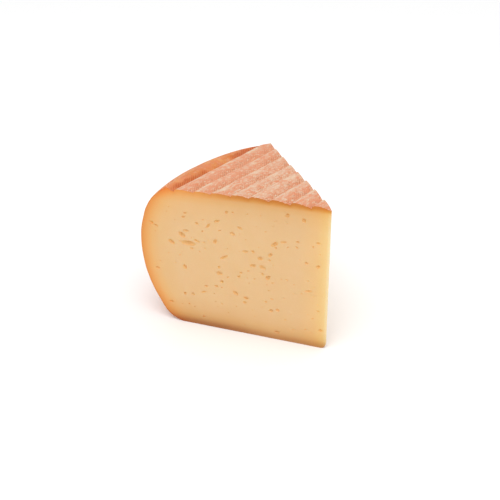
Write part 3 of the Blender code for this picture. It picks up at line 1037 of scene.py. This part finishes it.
# Beyond the mat lie the furrow, darker in places, the shoulder and the side, which is browner towards its
# foot.
furrow_darkness = follow_curve(along, FURROW_DARKENING, 0.0, 1.0)
dark_end = LAST_NOTCH + DARK_PATCH_REACH + noise(streaked, DARK_PATCH_CLOUD, 3.0) * DARK_PATCH_REACH_CHANGE
past_mat = spread(ridge, LAST_NOTCH + DARK_PATCH_EDGE[0], LAST_NOTCH + DARK_PATCH_EDGE[1])
in_furrow = past_mat * spread(ridge, dark_end, dark_end - DARK_PATCH_FADE) * spread(under_top, *DARK_PATCH_SKIN)
shoulder = lay_over(
    SHOULDER,
    (
        (1.0, patches(streaked, SHOULDER_CLOUDS), SHOULDER_PALE),
        (0.6, patches(place, SHOULDER_BLOOM), ORANGE),
        (1.0, spread(above_base, 90.0, 60.0), SIDE_TONE),
        (0.7, patches(place, SIDE_BLOOM), ORANGE),
        (0.35, patches(place, SIDE_STAINS), BROWN),
        (0.6, patches(place, SIDE_PALENESS), PALE),
        (0.22, strokes * spread(speckle, 0.45, 0.65), BROWN),
        (0.5, spread(above_base, 16.0, 1.0), BROWN),
        (1.0, in_furrow * furrow_darkness * (0.45 + strokes * 0.45), FURROW),
        (0.6, patches(place, SIDE_SPECKS), SPECK),
    ),
)
on_print = spread(ridge, LAST_NOTCH + 0.01, LAST_NOTCH - 0.01) * spread(under_top, 3.0, 1.5)
feed(shader.inputs["Base Color"], blend(on_print, shoulder, printed))
feed(shader.inputs["Roughness"], spread(speckle, 0.3, 0.7, *RIND_ROUGHNESS))
let_light_in(shader, 0.15, RIND_GLOW, 0.8)
shader.inputs["Specular IOR Level"].default_value = 0.25
fine_relief = speckle * 0.8 + strokes * 0.2
bump = add_node(
    tree, "ShaderNodeBump", {"Strength": 0.6, "Distance": 0.25 * MM, "Height": fine_relief}
)
feed(shader.inputs["Normal"], wire(bump))


# The wedge itself: the pressed wheel, cut and with its eyes opened, all one piece of cheese. It stands for
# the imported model's one solid.
STREWN_EYES = 0.014
SHARP_ANGLE = math.radians(38)


def cut_with(body, tool, operation="DIFFERENCE"):
    """Cuts a tool's shape out of the body, or keeps only what lies in both."""
    node = add_node(body.tree, "GeometryNodeMeshBoolean", operation=operation, solver="MANIFOLD")
    feed(node.inputs["Mesh 1" if operation == "DIFFERENCE" else "Mesh 2"], body)
    feed(node.inputs["Mesh 2"], tool)
    return wire(node)


wedge_tree, sizes, result = new_group(
    "cheese wedge",
    "GeometryNodeTree",
    [
        ("Plain Eyes", "NodeSocketGeometry", None),
        ("Height", "NodeSocketFloat", HEIGHT),
        ("Wheel Centre", "NodeSocketVector", WHEEL_CENTRE),
        ("Wedge Angle", "NodeSocketFloat", WEDGE_ANGLE),
        ("First Cut Eyes", "NodeSocketFloat", STREWN_EYES),
        ("Second Cut Eyes", "NodeSocketFloat", STREWN_EYES),
        ("Rind", "NodeSocketMaterial", None),
        ("Paste", "NodeSocketMaterial", None),
        ("Eye Wall", "NodeSocketMaterial", None),
        ("Tip Place", "NodeSocketVector", (0.0, 0.0, 0.0)),
    ],
    [("Mesh", "NodeSocketGeometry")],
)
whole = use_group(wedge_tree, wheel_shape, {"Height": sizes["Height"], "Centre": sizes["Wheel Centre"]})
mat = use_group(wedge_tree, mat_shape, {"Height": sizes["Height"]})
cuts = use_group(wedge_tree, cut_shape, {"Angle": sizes["Wedge Angle"]})
first_eyes = use_group(
    wedge_tree,
    eye_shape,
    {
        "Plain Eyes": sizes["Plain Eyes"],
        "Turn": 0.0,
        "Side": -1.0,
        "Amount": sizes["First Cut Eyes"],
        "Gap": 3.6,
        "Smallest": 0.8,
        "Largest": 1.9,
        "Seed": FIRST_CUT_SEED,
    },
)
second_eyes = use_group(
    wedge_tree,
    eye_shape,
    {
        "Turn": math.pi - sizes["Wedge Angle"],
        "Side": 1.0,
        "Amount": sizes["Second Cut Eyes"],
        "Gap": 5.6,
        "Smallest": 0.8,
        "Largest": 4.6,
        "Seed": SECOND_CUT_SEED,
    },
)
body = cut_with(wire(whole), wire(mat))
body = cut_with(body, wire(cuts), "INTERSECT")
body = cut_with(body, wire(first_eyes))
body = cut_with(body, wire(second_eyes))
domed = move_points(body, Offset=vector(wedge_tree, 0.0, 0.0, crown_at(own_place(wedge_tree))))
placed = add_node(
    wedge_tree,
    "GeometryNodeTransform",
    {"Geometry": domed, "Translation": sizes["Tip Place"], "Scale": (MM, MM, MM)},
)
finished = wire(add_node(wedge_tree, "GeometryNodeRealizeInstances", {"Geometry": wire(placed)}))
layer = attribute_wire(wedge_tree, "layer")
for label, least in (("Rind", RIND_LAYER), ("Paste", PASTE_LAYER), ("Eye Wall", EYE_LAYER)):
    chosen = maths("GREATER_THAN", layer, least - 0.5)
    inputs = {"Geometry": finished, "Selection": chosen, "Material": sizes[label]}
    finished = wire(add_node(wedge_tree, "GeometryNodeSetMaterial", inputs))
feed(result.inputs["Mesh"], finished)

# The plain eyes are points that the maker carries. What it makes is kept as a plain mesh.
plain_eyes = bpy.data.meshes.new("plain_eyes")
plain_eyes.from_pydata([(-distance, 0.0, height) for distance, height, *_ in PLAIN_EYES], [], [])
for name, values in {
    "eye_length": [eye[2] for eye in PLAIN_EYES],
    "eye_width": [eye[3] for eye in PLAIN_EYES],
    "eye_slant": [math.radians(eye[4]) for eye in PLAIN_EYES],
}.items():
    plain_eyes.attributes.new(name, "FLOAT", "POINT").data.foreach_set("value", values)
maker = bpy.data.objects.new("wedge_maker", plain_eyes)
bpy.context.scene.collection.objects.link(maker)
modifier = maker.modifiers.new("cheese wedge", "NODES")
modifier.node_group = wedge_tree
sockets = {item.name: item.identifier for item in wedge_tree.interface.items_tree if item.in_out == "INPUT"}
for label, value in {
    "Height": HEIGHT,
    "Wheel Centre": WHEEL_CENTRE,
    "Wedge Angle": WEDGE_ANGLE,
    "First Cut Eyes": STREWN_EYES,
    "Second Cut Eyes": STREWN_EYES,
    "Rind": rind,
    "Paste": paste,
    "Eye Wall": eye_wall,
    "Tip Place": tuple(TIP_PLACE),
}.items():
    modifier[sockets[label]] = value
graph = bpy.context.evaluated_depsgraph_get()
wedge_mesh = bpy.data.meshes.new_from_object(maker.evaluated_get(graph))
bpy.data.objects.remove(maker)
wedge_mesh.name = "washed_rind_wedge"

# The cuts leave an empty material slot and the numbers that they were made with, which go.
while None in list(wedge_mesh.materials):
    wedge_mesh.materials.pop(index=list(wedge_mesh.materials).index(None))
for name in ("layer", "eye_length", "eye_width", "eye_slant"):
    if name in wedge_mesh.attributes:
        wedge_mesh.attributes.remove(wedge_mesh.attributes[name])
wedge_mesh.shade_smooth()
wedge_mesh.set_sharp_from_angle(angle=SHARP_ANGLE)
wedge = bpy.data.objects.new("washed_rind_wedge", wedge_mesh)
bpy.context.scene.collection.objects.link(wedge)
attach(wedge, "root")
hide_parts("cheese_wedge")


# The table and the light. A plain pale table and an even white sky of light, as in a picture for a shop's
# page, with one broad lamp above and in front that keeps the shadows soft.
TABLE_RADIUS = 20.0
TABLE_SIDES = 96
TABLE_WHITE = (0.93, 0.93, 0.93, 1.0)
SKY_WHITE = (1.0, 1.0, 1.0, 1.0)
LAMP_PLACE = Vector((0.15, -0.8, 1.5))
LAMP_AIM = Vector((0.0, 0.0, 0.05))
LAMP_WIDTH = 1.2
LAMP_POWER = 9.0

bpy.ops.mesh.primitive_circle_add(vertices=TABLE_SIDES, radius=TABLE_RADIUS, fill_type="NGON")
table = bpy.context.object
table.name = "table"
table_material = bpy.data.materials.new("table")
table_material.use_nodes = True
table_shader = table_material.node_tree.nodes["Principled BSDF"]
table_shader.inputs["Base Color"].default_value = TABLE_WHITE
table_shader.inputs["Roughness"].default_value = 0.9
table_shader.inputs["Specular IOR Level"].default_value = 0.1
table.data.materials.append(table_material)

world = bpy.data.worlds.new("sky")
bpy.context.scene.world = world
world.use_nodes = True
background = world.node_tree.nodes["Background"]
background.inputs["Color"].default_value = SKY_WHITE
background.inputs["Strength"].default_value = 1.0

light = bpy.data.lights.new("front_lamp", "AREA")
light.shape = "DISK"
light.size = LAMP_WIDTH
light.energy = LAMP_POWER
lamp = bpy.data.objects.new("front_lamp", light)
lamp.location = LAMP_PLACE
lamp.rotation_euler = (LAMP_AIM - LAMP_PLACE).to_track_quat("-Z", "Y").to_euler()
bpy.context.scene.collection.objects.link(lamp)


# The camera. It stands before the wedge, a short way to the right of the tip, and looks a little down on it.
# Its place and its lens were fitted to the outline of the cheese.
CAMERA_FROM_TIP = Vector((123.897, -455.668, 289.170)) * MM
CAMERA_LOOKS_DOWN = math.radians(25.049)
CAMERA_TURN = math.radians(21.125)
FOCAL_PIXELS = 860.0
PICTURE_PIXELS = 500.0
FILM_WIDTH = 36.0
camera_data = bpy.data.cameras.new("camera")
camera_data.sensor_width = FILM_WIDTH
camera_data.lens = FOCAL_PIXELS * FILM_WIDTH / PICTURE_PIXELS
camera = bpy.data.objects.new("camera", camera_data)
camera.location = TIP_PLACE + CAMERA_FROM_TIP
camera.rotation_euler = (math.pi / 2 - CAMERA_LOOKS_DOWN, 0.0, CAMERA_TURN)
bpy.context.scene.collection.objects.link(camera)
bpy.context.scene.camera = camera
bpy.context.scene.view_settings.view_transform = "Standard"
